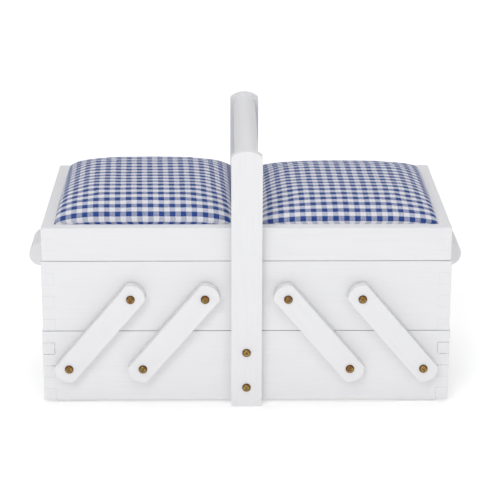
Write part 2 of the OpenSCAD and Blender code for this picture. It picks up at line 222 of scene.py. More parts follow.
def bake_place(piece):
    """Moves a piece's place into its mesh."""
    choose(piece)
    bpy.ops.object.transform_apply(location=True, rotation=True, scale=True)


def stamped(pattern, name, matrix):
    """A copy of a pattern in its place."""
    piece = linked(name, pattern.data)
    piece.matrix_world = matrix
    bake_place(piece)
    return piece


def copy_of(node, name, *materials):
    """A new piece with a CAD node's shape, its loose triangles merged into whole faces."""
    piece = linked(name, frame["nodes"][node].data)
    piece.data.materials.clear()
    for material in materials:
        piece.data.materials.append(material)
    with editing(piece, "VERT"):
        bpy.ops.mesh.remove_doubles(threshold=1e-6)
        bpy.ops.mesh.dissolve_limited(angle_limit=math.radians(0.5))
    return piece


def place(piece, node, *materials):
    """Gives a piece its materials and its body, and lets it stand for a CAD node."""
    for material in materials:
        piece.data.materials.append(material)
    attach(piece, BODY_OF[node])
    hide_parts(node)
    return piece


def islands(node):
    """The lowest and highest corner of each separate solid in a CAD node, from left to right."""
    mesh = bmesh.new()
    mesh.from_mesh(frame["nodes"][node].data)
    bmesh.ops.remove_doubles(mesh, verts=mesh.verts, dist=1e-6)
    found, seen = [], set()
    for start in mesh.verts:
        if start in seen:
            continue
        group, queue = [], [start]
        seen.add(start)
        while queue:
            vert = queue.pop()
            group.append(vert.co.copy())
            for edge in vert.link_edges:
                other = edge.other_vert(vert)
                if other not in seen:
                    seen.add(other)
                    queue.append(other)
        found.append((Vector(map(min, *group)), Vector(map(max, *group))))
    mesh.free()
    return sorted(found, key=lambda box: tuple(round(c, 4) for c in box[0]))


def joined(pieces, name):
    choose(pieces[0])
    for piece in pieces[1:]:
        piece.select_set(True)
    bpy.ops.object.join()
    pieces[0].name = name
    return pieces[0]


def cylinder(vertices, radius, depth, location, rotation=(0, 0, 0)):
    bpy.ops.mesh.primitive_cylinder_add(vertices=vertices, radius=radius, depth=depth, location=location,
                                        rotation=rotation)
    piece = bpy.context.object
    bake_place(piece)
    return piece


def extrude(x, y, z):
    """In edit mode, extrudes what is selected."""
    bpy.ops.mesh.extrude_region_move(TRANSFORM_OT_translate={"value": (x, y, z)})


def cut_with(piece, cutter, **values):
    """Cuts a cutter's shape out of a piece, and uses the cutter up."""
    modify(piece, "BOOLEAN", operation="DIFFERENCE", object=cutter, solver="EXACT", **values)
    bpy.data.objects.remove(cutter)


# ---- Tests for edges, in edit mode ----


def crease(edge, angle=25):
    return edge.is_manifold and edge.calc_face_angle() > math.radians(angle)


def lies_on(edge, axis, value):
    return all(abs(vert.co[axis] - value) < TOUCH for vert in edge.verts)


def planes_met(edge, low, high):
    """The axes along which an edge lies on a box's face."""
    return [axis for axis in range(3) if lies_on(edge, axis, low[axis]) or lies_on(edge, axis, high[axis])]


def clear_of(edge, centre, radius):
    middle = (edge.verts[0].co + edge.verts[1].co) / 2
    return math.hypot(middle.x - centre.x, middle.z - centre.z) > radius


def rounded(piece, test, width, segments=3, material=0, clamp=True):
    """Rounds the edges of a piece that pass a test."""
    with editing(piece):
        if pick(piece, "edges", test):
            bpy.ops.mesh.bevel(offset_type="OFFSET", offset=width, segments=segments, affect="EDGES",
                               clamp_overlap=clamp, material=material)


# ---- Materials ----


def fill(tree, socket, value):
    if isinstance(value, bpy.types.NodeSocket):
        tree.links.new(value, socket)
    elif isinstance(value, (int, float)):
        socket.default_value = value
    else:
        value = tuple(value)
        socket.default_value = value + (1.0,) if len(socket.default_value) == 4 and len(value) == 3 else value


def node(tree, kind, inputs=None, **values):
    """Adds a shader node, sets its properties, and fills or links its sockets."""
    made = tree.nodes.new("ShaderNode" + kind)
    for name, value in values.items():
        setattr(made, name, value)
    for name, value in (inputs or {}).items():
        fill(tree, made.inputs[name], value)
    return made


def in_place(tree):
    """Where a point of the piece is, in metres."""
    return node(tree, "TexCoord").outputs["Object"]


def maths(tree, operation, *values):
    made = node(tree, "Math", operation=operation)
    for socket, value in zip(made.inputs, values):
        fill(tree, socket, value)
    return made.outputs[0]


def blend(tree, share, first, second):
    """Mixes two colours."""
    made = node(tree, "Mix", data_type="RGBA")
    for index, value in ((0, share), (6, first), (7, second)):
        fill(tree, made.inputs[index], value)
    return made.outputs[2]


def remap(tree, value, low, high, new_low=0.0, new_high=1.0):
    made = node(tree, "MapRange", {"Value": value, "From Min": low, "From Max": high, "To Min": new_low,
                                   "To Max": new_high})
    return made.outputs["Result"]


def noise_of(tree, where, scale, detail=3.0, roughness=0.5, distortion=0.0):
    return node(tree, "TexNoise", {"Vector": where, "Scale": scale, "Detail": detail, "Roughness": roughness,
                                   "Distortion": distortion}).outputs["Fac"]


def shade(colour, factor):
    return tuple(min(1.0, channel * factor) for channel in colour)


def along_grain(tree, grain, stretch):
    """Object coordinates turned to a board's grain and drawn out along it."""
    return node(tree, "Mapping", {"Vector": in_place(tree), "Rotation": GRAIN_ROTATION[grain],
                                  "Scale": (stretch, 1, 1)}, vector_type="TEXTURE").outputs["Vector"]


def coat(tree, shader, colour, roughness, metallic=0.0):
    fill(tree, shader.inputs["Base Color"], colour)
    fill(tree, shader.inputs["Roughness"], roughness)
    shader.inputs["Metallic"].default_value = metallic


def add_bump(tree, shader, *heights):
    """Stacks bumps, each a height from 0 to 1 with its depth in metres and its strength."""
    normal = None
    for height, depth, strength in heights:
        inputs = {"Height": height, "Distance": depth, "Strength": strength}
        if normal:
            inputs["Normal"] = normal
        normal = node(tree, "Bump", inputs).outputs["Normal"]
    fill(tree, shader.inputs["Normal"], normal)


def paint_colour(tree, grain):
    """Satin white over fine grain: the faint streaks that telegraph through, and slow patches of tone."""
    colour = settings().paint.colour
    streaks = noise_of(tree, along_grain(tree, grain, 26), 420, 4, 0.62)
    bands = noise_of(tree, along_grain(tree, grain, 9), 55, 2, 0.5, 0.4)
    patches = noise_of(tree, in_place(tree), 14, 2)
    tone = blend(tree, remap(tree, streaks, 0.35, 0.72), colour, shade(colour, 0.962))
    tone = blend(tree, remap(tree, bands, 0.42, 0.75, 0, 0.6), tone, shade(colour, 0.975))
    warm = (colour[0], colour[1] * 0.992, colour[2] * 0.972)
    return blend(tree, remap(tree, patches, 0.3, 0.7, 0, 0.35), tone, warm), streaks


def painted_wood(tree, shader, grain):
    """Satin paint with the grain just showing, and brush marks in its gloss."""
    colour, streaks = paint_colour(tree, grain)
    brushed = noise_of(tree, along_grain(tree, grain, 14), 160, 2)
    peel = noise_of(tree, in_place(tree), 900, 2)
    coat(tree, shader, colour, remap(tree, brushed, 0.3, 0.7, 0.40, 0.52))
    shader.inputs["Specular IOR Level"].default_value = 0.4
    add_bump(tree, shader, (streaks, 0.00006, 0.5), (brushed, 0.00005, 0.3), (peel, 0.00001, 0.35))


def worn_corner(tree, shader, grain):
    """The same paint on a rounded corner, rubbed thin here and there."""
    colour, streaks = paint_colour(tree, grain)
    rubbed = noise_of(tree, in_place(tree), 95, 5, 0.7)
    thin = shade(settings().paint.colour, 0.86)
    warm = (thin[0], thin[1] * 0.97, thin[2] * 0.91)
    coat(tree, shader, blend(tree, remap(tree, rubbed, 0.58, 0.72, 0, 0.8), colour, warm),
         remap(tree, rubbed, 0.4, 0.7, 0.40, 0.6))
    add_bump(tree, shader, (streaks, 0.00004, 0.4), (rubbed, 0.00008, 0.3))


# The joints have cracked above this height; the change takes 10 mm.
CRACKS_FROM = (0.031, 0.041)


def cracked_joint(tree, shader, strength):
    """The hairline where two boards' fingers meet: paint that has cracked in dashes down to bare wood."""
    paint = settings().paint
    where = in_place(tree)
    dashes = noise_of(tree, where, 620, 2, 0.6)
    places = noise_of(tree, where, 48, 1)
    crack = maths(tree, "MULTIPLY", remap(tree, dashes, 0.38, 0.50),
                  remap(tree, places, 0.40, 0.60, 0.35, 1.0))
    height = node(tree, "SeparateXYZ", {"Vector": where}).outputs["Z"]
    crack = maths(tree, "MULTIPLY", crack, remap(tree, height, *CRACKS_FROM, 0.12, strength))
    coat(tree, shader, blend(tree, crack, shade(paint.colour, 0.93), paint.bare_wood), 0.7)
    add_bump(tree, shader, (dashes, 0.0001, 0.5))


def plywood(tree, shader):
    """Pale birch ply: wavy growth bands, pores along the grain, and a little fleck."""
    where = along_grain(tree, "x", 6)
    bend = noise_of(tree, where, 9, 3, 0.5, 0.6)
    bands = node(tree, "TexWave", {"Vector": where, "Scale": 16, "Distortion": 7.0, "Detail": 3,
                                   "Detail Scale": 1.6}, bands_direction="Y").outputs["Fac"]
    pores = noise_of(tree, along_grain(tree, "x", 22), 520, 3, 0.65)
    wood = blend(tree, remap(tree, bands, 0.2, 1.0, 0, 0.55), (0.70, 0.57, 0.40), (0.58, 0.43, 0.27))
    wood = blend(tree, remap(tree, bend, 0.35, 0.7, 0, 0.4), wood, (0.76, 0.65, 0.49))
    wood = blend(tree, remap(tree, pores, 0.58, 0.74, 0, 0.5), wood, (0.40, 0.28, 0.17))
    coat(tree, shader, wood, remap(tree, pores, 0.3, 0.8, 0.55, 0.75))
    add_bump(tree, shader, (pores, 0.00008, 0.5), (bands, 0.00004, 0.2))


def yellow_zinc(tree, shader):
    """Yellow-passivated zinc: gold that drifts towards red-brown and green, and a painted dark reflection on its
    slopes.
    """
    where = in_place(tree)
    drift = noise_of(tree, where, 210, 3, 0.6)
    green = noise_of(tree, where, 130, 2)
    fine_mottle = noise_of(tree, where, 1500, 3, 0.7)
    gold = settings().metal.zinc
    colour = blend(tree, remap(tree, drift, 0.40, 0.60), gold, (0.34, 0.13, 0.035))
    colour = blend(tree, remap(tree, green, 0.5, 0.7, 0, 0.6), colour, (0.26, 0.29, 0.08))
    # Fine dark grime, which also dulls the gloss.
    colour = blend(tree, remap(tree, fine_mottle, 0.45, 0.62, 0, 0.75), colour, (0.06, 0.035, 0.015))
    # Painted dark reflection: the colour turns dark brown where the surface faces away from the front and back, on
    # the sloped rims of the heads and the washers' edges.
    turned = node(tree, "SeparateXYZ", {"Vector": node(tree, "NewGeometry").outputs["Normal"]}).outputs["Y"]
    rim = remap(tree, maths(tree, "ABSOLUTE", turned), 0.62, 0.93, 0.85, 0.0)
    colour = blend(tree, rim, colour, (0.11, 0.035, 0.012))
    coat(tree, shader, colour, remap(tree, fine_mottle, 0.3, 0.7, 0.26, 0.5), 1.0)
    add_bump(tree, shader, (fine_mottle, 0.00003, 0.4))


def recess_grime(tree, shader):
    """Painted shade inside a screw's recess: dark brown mottled with pale painted glints."""
    fine_mottle = noise_of(tree, in_place(tree), 1800, 3, 0.7)
    # Painted shade and pale painted glints, mixed by a fine mottle.
    coat(tree, shader, blend(tree, fine_mottle, (0.07, 0.045, 0.025), (0.70, 0.62, 0.42)), 0.55, 0.7)
    add_bump(tree, shader, (fine_mottle, 0.00004, 0.5))


def brass(tree, shader):
    """Rolled brass with fine scratches along the hinge and dull smudges."""
    scratches = noise_of(tree, along_grain(tree, "y", 30), 2400, 2)
    smudges = noise_of(tree, in_place(tree), 160, 4, 0.6)
    dull = blend(tree, remap(tree, smudges, 0.45, 0.75, 0, 0.7), settings().metal.brass,
                 (0.46, 0.29, 0.12))
    coat(tree, shader, dull, remap(tree, smudges, 0.3, 0.7, 0.22, 0.42), 1.0)
    add_bump(tree, shader, (scratches, 0.00002, 0.4))


def gingham(tree, shader):
    """Plain-woven gingham, drawn yarn by yarn from the cover's own weave map in metres, with painted shade between
    the yarns.
    """
    cushion = settings().cushion
    weave = node(tree, "UVMap", uv_map="weave").outputs["UV"]
    crooked = node(tree, "TexNoise", {"Vector": weave, "Scale": 70, "Detail": 2}).outputs["Color"]
    for operation, value in (("SUBTRACT", {1: (0.5, 0.5, 0.5)}), ("SCALE", {"Scale": 0.0009}),
                             ("ADD", {1: weave})):
        crooked = node(tree, "VectorMath", {0: crooked, **value}, operation=operation).outputs[0]
    split = node(tree, "SeparateXYZ", {"Vector": crooked})

    blues, shapes, tones = [], [], []
    for axis in ("X", "Y"):
        at = split.outputs[axis]
        stripe = maths(tree, "FRACT", maths(tree, "DIVIDE", at, cushion.repeat))
        blues.append(maths(tree, "LESS_THAN", stripe, 0.5))
        count = maths(tree, "DIVIDE", at, cushion.yarn)
        across = maths(tree, "SINE", maths(tree, "MULTIPLY", maths(tree, "FRACT", count), math.pi))
        shapes.append(across)
        tone = node(tree, "TexWhiteNoise", {"W": maths(tree, "FLOOR", count)}, noise_dimensions="1D")
        tones.append(tone.outputs["Value"])
    over = node(tree, "TexChecker", {"Vector": crooked, "Color1": (1, 1, 1), "Color2": (0, 0, 0),
                                     "Scale": 1 / cushion.yarn}).outputs["Fac"]

    slubs = noise_of(tree, weave, 520, 3, 0.6)
    warp = blend(tree, blues[0], cushion.white, cushion.blue)
    weft = blend(tree, blues[1], cushion.white, cushion.blue)
    warp = blend(tree, remap(tree, tones[0], 0, 1, 0, 0.08), warp, (0.36, 0.38, 0.48))
    weft = blend(tree, remap(tree, tones[1], 0, 1, 0, 0.05), weft, (0.36, 0.38, 0.48))
    cloth = blend(tree, cushion.weft_share, blend(tree, over, weft, warp), weft)
    high = node(tree, "Mix", {0: over, 2: shapes[1], 3: shapes[0]}, data_type="FLOAT").outputs[0]
    # Painted shade between the yarns: darker towards deep blue where a yarn's surface dips at its edges.
    cloth = blend(tree, remap(tree, high, 0, 0.7, 0.30, 0.0), cloth, (0.02, 0.03, 0.08))
    cloth = blend(tree, remap(tree, slubs, 0.45, 0.7, 0.0, 0.08), cloth, (0.50, 0.52, 0.60))
    coat(tree, shader, cloth, 0.85)
    shader.inputs["Specular IOR Level"].default_value = 0.12
    shader.inputs["Sheen Weight"].default_value = 0.06
    shader.inputs["Sheen Roughness"].default_value = 0.5
    fill(tree, shader.inputs["Sheen Tint"], (0.85, 0.88, 1.0))
    add_bump(tree, shader, (high, 0.00012, 0.7), (slubs, 0.00008, 0.4))


def pale_floor(tree, shader):
    """A plain pale floor that glows a little, like paper lit from all round."""
    colour = settings().stage.floor
    where = in_place(tree)
    mottle = noise_of(tree, where, 3, 2)
    coat(tree, shader, blend(tree, mottle, colour, shade(colour, 0.99)), 0.9)
    fill(tree, shader.inputs["Emission Color"], (1, 1, 1))
    # Painted glow: the emission grows with distance from the middle, from 0.25 near the box to 0.5 at 1.5 m.
    away = node(tree, "VectorMath", {0: where}, operation="LENGTH").outputs["Value"]
    fill(tree, shader.inputs["Emission Strength"], remap(tree, away, 0.15, 1.5, 0.25, 0.50))


MAKERS = {"paint": painted_wood, "corner": worn_corner, "joint": cracked_joint, "plywood": plywood,
          "zinc": yellow_zinc, "recess": recess_grime, "brass": brass, "gingham": gingham, "floor": pale_floor}
MATERIALS = {}


def finish_named(kind, *details):
    """Makes a material once, from a Principled shader, and hands out the same one after that."""
    name = "_".join([kind, *(str(detail).replace(".", "") for detail in details)])
    if name not in MATERIALS:
        material = MATERIALS[name] = bpy.data.materials.new(name)
        material.use_nodes = True
        tree = material.node_tree
        tree.nodes.clear()
        shader = tree.nodes.new("ShaderNodeBsdfPrincipled")
        out = tree.nodes.new("ShaderNodeOutputMaterial")
        tree.links.new(shader.outputs["BSDF"], out.inputs["Surface"])
        MAKERS[kind](tree, shader, *details)
    return MATERIALS[name]


def painted(grain):
    """The paint of a board's faces, and of its rounded edges."""
    return finish_named("paint", grain), finish_named("corner", grain)


# ---- Stage ----

CAMERA_PLACE = (-0.0223, -1.7333, 0.7164)
# To the right of straight back, downwards, and about the camera's own axis, in radians.
CAMERA_TURN = (0.0157, 0.3297, 0.0036)
LIT_POINT = Vector((0, 0, 0.12))
# Each light's place, its width and depth, and its share of the key light's power.
LIGHTS = (
    ("left_light", (-0.83, -1.96, 1.61), 1.3, 1.3, 1.0),
    ("right_light", (1.32, -1.88, 1.34), 1.3, 1.3, 0.42),
    ("high_light", (0, -1.3, 2.37), 1.3, 1.3, 0.35),
    ("top_light", (0, 0.67, 2.63), 2.0, 1.6, 1.42),
)

class SEWINGBOX_OT_stage(Operator):
    """Sets the camera, the pale floor and the soft studio lights"""

    bl_idname = "sewing_box.stage"
    bl_label = "Stage"

    def execute(self, context):
        stage = settings().stage
        bpy.ops.object.camera_add(location=CAMERA_PLACE)
        camera = context.object
        camera.name = "studio_camera"
        heading, tilt, roll = CAMERA_TURN
        ahead = Vector((math.sin(heading) * math.cos(tilt), math.cos(heading) * math.cos(tilt),
                        -math.sin(tilt)))
        level = Vector((math.cos(heading), -math.sin(heading), 0))
        right = math.cos(roll) * level + math.sin(roll) * level.cross(ahead)
        camera.rotation_mode = "QUATERNION"
        camera.rotation_quaternion = Matrix((right, right.cross(ahead), -ahead)).transposed().to_quaternion()
        camera.data.lens = stage.lens
        camera.data.sensor_width = 36
        camera.data.clip_start, camera.data.clip_end = 0.05, 50
        context.scene.camera = camera

        world = bpy.data.worlds.new("studio_surround")
        world.use_nodes = True
        sky = world.node_tree.nodes["Background"]
        sky.inputs["Color"].default_value = (0.985, 0.99, 1.0, 1)
        sky.inputs["Strength"].default_value = stage.daylight
        context.scene.world = world
        context.scene.view_settings.view_transform = "Standard"

        bpy.ops.mesh.primitive_plane_add(size=12, location=(0, 0, 0))
        floor = context.object
        floor.name = "studio_floor"
        with editing(floor):
            bpy.ops.mesh.subdivide(number_cuts=3)
        floor.data.materials.append(finish_named("floor"))

        for name, where, width, depth, share in LIGHTS:
            bpy.ops.object.light_add(type="AREA", location=where)
            light = context.object
            light.name = name
            light.rotation_mode = "QUATERNION"
            light.rotation_quaternion = (LIT_POINT - Vector(where)).to_track_quat("-Z", "Y")
            light.data.shape = "RECTANGLE"
            light.data.size, light.data.size_y = width, depth
            light.data.energy = stage.key_power * share
            light.visible_camera = False
        return {"FINISHED"}


# ---- Boards ----


def storey_box(walls):
    """The outside of four joined walls."""
    lows, highs = zip(*(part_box(wall) for wall in walls))
    return Vector(map(min, *lows)), Vector(map(max, *highs))


def dress_wall(name, low, high, wall, grain, top_round, joint):
    """One finger-jointed board: rounded where it is the box's own edge, hairlines where fingers meet."""
    paint = settings().paint
    piece = copy_of(name, f"{name}_painted", *painted(grain), finish_named("joint", joint))
    inner_low, inner_high = low + Vector((wall, wall, 0)), high - Vector((wall, wall, 0))
    if grain == "x":
        for x in (inner_low.x, inner_high.x):
            with editing(piece, "VERT"):
                bpy.ops.mesh.bisect(plane_co=(x, 0, 0), plane_no=(1, 0, 0), threshold=1e-6)

    def corner(edge):
        return crease(edge) and planes_met(edge, low, high) == [0, 1]

    def rim(edge, level):
        return (crease(edge) and lies_on(edge, 2, level) and len(planes_met(edge, low, high)) == 2
                and not lies_on(edge, 0, inner_low.x))

    def inner_rim(edge):
        if not crease(edge) or not (lies_on(edge, 2, low.z) or lies_on(edge, 2, high.z)):
            return False
        for across, along in ((0, 1), (1, 0)):
            if lies_on(edge, across, inner_low[across]) or lies_on(edge, across, inner_high[across]):
                return all(inner_low[along] - TOUCH < vert.co[along] < inner_high[along] + TOUCH
                           for vert in edge.verts)
        return False

    def finger_line(edge):
        if not crease(edge, 60) or len(planes_met(edge, low, high)) != 1 or inner_rim(edge):
            return False
        at = (edge.verts[0].co + edge.verts[1].co) / 2
        return not (inner_low.x + TOUCH < at.x < inner_high.x - TOUCH
                    and inner_low.y + TOUCH < at.y < inner_high.y - TOUCH)

    rounded(piece, corner, paint.corner_round, 3, 1)
    rounded(piece, lambda edge: rim(edge, high.z), top_round, 2, 1)
    rounded(piece, lambda edge: rim(edge, low.z), paint.rim_round, 2, 0)
    rounded(piece, inner_rim, paint.rim_round, 2, 1)
    rounded(piece, finger_line, paint.joint_width * (0.3 + 0.7 * joint), 1, 2, False)
    smooth(piece)
    place(piece, name)


class SEWINGBOX_OT_boards(Operator):
    """Paints the finger-jointed boards of the base, the trays and the lids"""

    bl_idname = "sewing_box.boards"
    bl_label = "Boards"

    def execute(self, context):
        paint = settings().paint
        base = ["base_front_panel", "base_back_panel", "base_left_end", "base_right_end"]
        storeys = [(base, paint.rim_round, 1.0)]
        for side in SIDES:
            storeys.append(([f"{side}_tray_{board}" for board in (
                "front_panel", "back_panel", "outer_end", "inner_end")], paint.rim_round, 0.25))
            storeys.append(([f"{side}_lid_{board}" for board in (
                "front_rail", "back_rail", "outer_rail", "inner_rail")], paint.corner_round, 0.06))
        for walls, top_round, joint in storeys:
            low, high = storey_box(walls)
            front_low, front_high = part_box(walls[0])
            wall = front_high.y - front_low.y
            for index, name in enumerate(walls):
                dress_wall(name, low, high, wall, "x" if index < 2 else "y", top_round, joint)
        return {"FINISHED"}


class SEWINGBOX_OT_panels(Operator):
    """Lays the plywood floors and the lids' panels in their grooves"""

    bl_idname = "sewing_box.panels"
    bl_label = "Plywood panels"

    def execute(self, context):
        for name in ("base_floor", "left_tray_floor", "right_tray_floor", "left_lid_panel",
                     "right_lid_panel"):
            piece = copy_of(name, f"{name}_plywood")
            rounded(piece, crease, 0.0003, 1)
            smooth(piece)
            place(piece, name, finish_named("plywood"))
        return {"FINISHED"}


class SEWINGBOX_OT_dividers(Operator):
    """Paints the trays' dividers"""

    bl_idname = "sewing_box.dividers"
    bl_label = "Dividers"

    def execute(self, context):
        for side in SIDES:
            name = f"{side}_tray_divider"
            low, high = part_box(name)
            piece = copy_of(name, f"{name}_painted", *painted("y"))
            rounded(piece, lambda edge: lies_on(edge, 2, high.z), 0.0012, 4, 1)
            smooth(piece)
            place(piece, name)
        return {"FINISHED"}


class SEWINGBOX_OT_feet(Operator):
    """Paints the four flat feet"""

    bl_idname = "sewing_box.feet"
    bl_label = "Feet"

    def execute(self, context):
        piece = copy_of("base_feet", "base_feet_painted", *painted("x"))
        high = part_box("base_feet")[1]
        rounded(piece, lambda edge: crease(edge) and not lies_on(edge, 2, high.z), 0.0007, 2, 1)
        smooth(piece)
        place(piece, "base_feet")
        return {"FINISHED"}


# ---- Handle, arms and pulls ----


class SEWINGBOX_OT_uprights(Operator):
    """Paints the handle's flat uprights"""

    bl_idname = "sewing_box.uprights"
    bl_label = "Uprights"

    def execute(self, context):
        bar_low, bar_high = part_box("handle_crossbar")
        holes = [((low + high) / 2, 0.004) for low, high in islands("handle_screws")]
        holes.append(((bar_low + bar_high) / 2, 0.0075))
        for name in ("handle_front_upright", "handle_back_upright"):
            low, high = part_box(name)
            piece = copy_of(name, f"{name}_painted", *painted("z"))

            def shoulder(edge):
                first, second = (vert.co for vert in edge.verts)
                return crease(edge, 30) and abs(first.y - second.y) > 0.005 and min(
                    first.z, second.z) > high.z - 0.01

            def outline(edge):
                return crease(edge, 40) and any(lies_on(edge, 1, y) for y in (low.y, high.y)) and all(
                    clear_of(edge, *hole) for hole in holes)

            rounded(piece, shoulder, 0.0015, 3, 0)
            rounded(piece, outline, settings().paint.arm_round, 2, 1)
            smooth(piece, 35)
            place(piece, name)
        return {"FINISHED"}


class SEWINGBOX_OT_crossbar(Operator):
    """Turns the handle's round crossbar, with its tenons in the uprights"""

    bl_idname = "sewing_box.crossbar"
    bl_label = "Crossbar"

    def execute(self, context):
        low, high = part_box("handle_crossbar")
        middle, radius = (low + high) / 2, (high.x - low.x) / 2
        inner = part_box("handle_back_upright")[0].y
        piece = cylinder(96, radius, 2 * inner, middle, (math.pi / 2, 0, 0))
        piece.name = "handle_crossbar_turned"
        with editing(piece, "FACE"):
            for end in (-inner, inner):
                pick(piece, "faces", lambda face: abs(face.calc_center_median().y - end) < TOUCH
                     and abs(face.normal.y) > 0.9)
                bpy.ops.mesh.inset(thickness=radius - 0.006)
                extrude(0, math.copysign(high.y - inner, end), 0)
        rounded(piece, lambda edge: crease(edge, 60) and (abs(edge.verts[0].co.y) > inner + 0.001), 0.0006, 2)
        smooth(piece)
        place(piece, "handle_crossbar", finish_named("paint", "y"))
        return {"FINISHED"}


def seen_along(node, lower, upper):
    """A CAD arm's points, measured along and across the line from its lower pivot to its upper one."""
    along = (upper - lower).normalized()
    points = [vert.co - lower for vert in frame["nodes"][node].data.vertices]
    return [Vector((point.dot(along), point.z * along.x - point.x * along.z)) for point in points]


def arm_blank(reach, half, length, thickness):
    """One arm along +X from its lower pivot, its face at 0, its ends and edges rounded, no holes yet."""
    bpy.ops.mesh.primitive_circle_add(vertices=64, radius=reach, fill_type="NGON", location=(0, 0, 0))
    arm = bpy.context.object
    arm.data.materials.append(None)
    arm.data.materials.append(None)
    with editing(arm, "VERT"):
        for side in (1, -1):
            bpy.ops.mesh.select_all(action="SELECT")
            bpy.ops.mesh.bisect(plane_co=(0, side * half, 0), plane_no=(0, side, 0), clear_outer=True)
        pick(arm, "verts", lambda vert: vert.co.x > TOUCH)
        bpy.ops.transform.translate(value=(length, 0, 0))
        bpy.ops.mesh.select_all(action="SELECT")
        extrude(0, 0, -thickness)
        bpy.ops.mesh.select_all(action="SELECT")
        bpy.ops.mesh.normals_make_consistent(inside=False)
    rounded(arm, lambda edge: crease(edge, 28) and abs(edge.verts[0].co.z - edge.verts[1].co.z) > TOUCH,
            0.0008, 3, 0)
    rounded(arm, lambda edge: crease(edge, 60) and (lies_on(edge, 2, 0) or lies_on(edge, 2, -thickness)),
            settings().paint.arm_round, 2, 1)
    return arm


class SEWINGBOX_OT_arms(Operator):
    """Shapes one arm, drills it, and hangs its copies on the eight pairs of pivots"""

    bl_idname = "sewing_box.arms"
    bl_label = "Arms"

    def execute(self, context):
        lift = PIVOT["left_tray_level"] - PIVOT["left_swing"]
        for rank in ("outer", "inner"):
            lower = PIVOT["left_swing" if rank == "outer" else "left_inner_swing"]
            upper = lower + Vector((abs(lift.x), 0, lift.z))
            outline = seen_along(f"left_{rank}_front_arm", lower, upper)
            low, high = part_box(f"left_{rank}_front_arm")
            thickness, length = high.y - low.y, (upper - lower).length
            pattern = arm_blank(-min(point.x for point in outline), max(point.y for point in outline),
                                length, thickness)
            for where in (0, length):
                radius = min((point - Vector((where, 0))).length for point in outline)
                cut_with(pattern, cylinder(48, radius, 3 * thickness, (where, 0, 0)))
            smooth(pattern, 32)
            for side, sign in SIDES.items():
                foot = PIVOT[f"{side}_swing" if rank == "outer" else f"{side}_inner_swing"]
                along = Vector((-sign * abs(lift.x), 0, lift.z)).normalized()
                for face in ("front", "back"):
                    name = f"{side}_{rank}_{face}_arm"
                    low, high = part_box(name)
                    out = Vector((0, -1 if face == "front" else 1, 0))
                    spot = Matrix.Translation((foot.x, low.y if face == "front" else high.y, foot.z))
                    turn = Matrix((along, out.cross(along), out)).transposed().to_4x4()
                    arm = stamped(pattern, f"{name}_painted", spot @ turn)
                    for index, material in enumerate(painted(f"{side}_arm")):
                        arm.data.materials[index] = material
                    place(arm, name)
            bpy.data.objects.remove(pattern)
        return {"FINISHED"}


class SEWINGBOX_OT_pulls(Operator):
    """Turns the trays' round pulls, planed flat where they are glued on"""

    bl_idname = "sewing_box.pulls"
    bl_label = "Pulls"

    def execute(self, context):
        for side, sign in SIDES.items():
            name = f"{side}_tray_pull"
            low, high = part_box(name)
            radius = (high.z - low.z) / 2
            flat = low.x if sign > 0 else high.x
            tip = high.x if sign > 0 else low.x
            middle = Vector((tip - sign * radius, 0, (low.z + high.z) / 2))
            piece = cylinder(96, radius, high.y - low.y, middle, (math.pi / 2, 0, 0))
            piece.name = f"{name}_turned"
            for material in painted("y"):
                piece.data.materials.append(material)
            with editing(piece, "VERT"):
                bpy.ops.mesh.bisect(plane_co=(flat, 0, 0), plane_no=(-sign, 0, 0), use_fill=True,
                                    clear_outer=True)
            rounded(piece, lambda edge: crease(edge, 60) and (
                lies_on(edge, 1, low.y) or lies_on(edge, 1, high.y)) and not lies_on(edge, 0, flat),
                0.0009, 3, 1)
            smooth(piece)
            place(piece, name)
        return {"FINISHED"}


# ---- Screws, washers and hinges ----


def recess_cutter(depth, reach, width):
    """A tapered cross that cuts a driver's recess, pointing down from the top of a head at 0."""
    bars = []
    for turn in (0, math.pi / 2):
        bpy.ops.mesh.primitive_cube_add(size=1, location=(0, 0, 0))
        bar = bpy.context.object
        bar.scale = (2 * reach, width, 2 * depth)
        bake_place(bar)
        with editing(bar, "FACE"):
            pick(bar, "faces", lambda face: face.normal.z < -0.9)
            bpy.ops.transform.resize(value=(0.42, 0.8, 1))
        bar.rotation_euler = (0, 0, turn)
        bake_place(bar)
        bars.append(bar)
    modify(bars[0], "BOOLEAN", operation="UNION", object=bars[1], solver="EXACT")
    bpy.data.objects.remove(bars[1])
    return bars[0]


HEAD_HEIGHT = 0.0027
HEAD_SHANK = 0.002
HEAD_CROSS = 0.0024


def pan_head_screw(head_r, length):
    """One pan-head screw along Z, its head's underside at 0, with a cross recess."""
    screw = cylinder(48, head_r, 0.28 * HEAD_HEIGHT, (0, 0, 0.14 * HEAD_HEIGHT))
    with editing(screw, "FACE"):
        pick(screw, "faces", lambda face: face.normal.z > 0.9)
        rise, reach = 0.28, 1.0
        for new_reach, new_rise in ((0.93, 0.52), (0.78, 0.76), (0.58, 0.91), (0.34, 0.98)):
            bpy.ops.mesh.inset(thickness=(reach - new_reach) * head_r)
            bpy.ops.transform.translate(value=(0, 0, (new_rise - rise) * HEAD_HEIGHT))
            reach, rise = new_reach, new_rise
        pick(screw, "faces", lambda face: face.normal.z < -0.9)
        bpy.ops.mesh.inset(thickness=head_r - HEAD_SHANK)
        extrude(0, 0, -length)
    screw.data.materials.append(finish_named("zinc"))
    cutter = recess_cutter(0.62 * HEAD_HEIGHT, HEAD_CROSS, 0.46 * HEAD_CROSS)
    cutter.location = (0, 0, HEAD_HEIGHT)
    bake_place(cutter)
    # The recess takes the material with painted shade.
    cutter.data.materials.append(finish_named("recess"))
    cut_with(screw, cutter, material_mode="TRANSFER")
    smooth(screw, 40)
    return screw


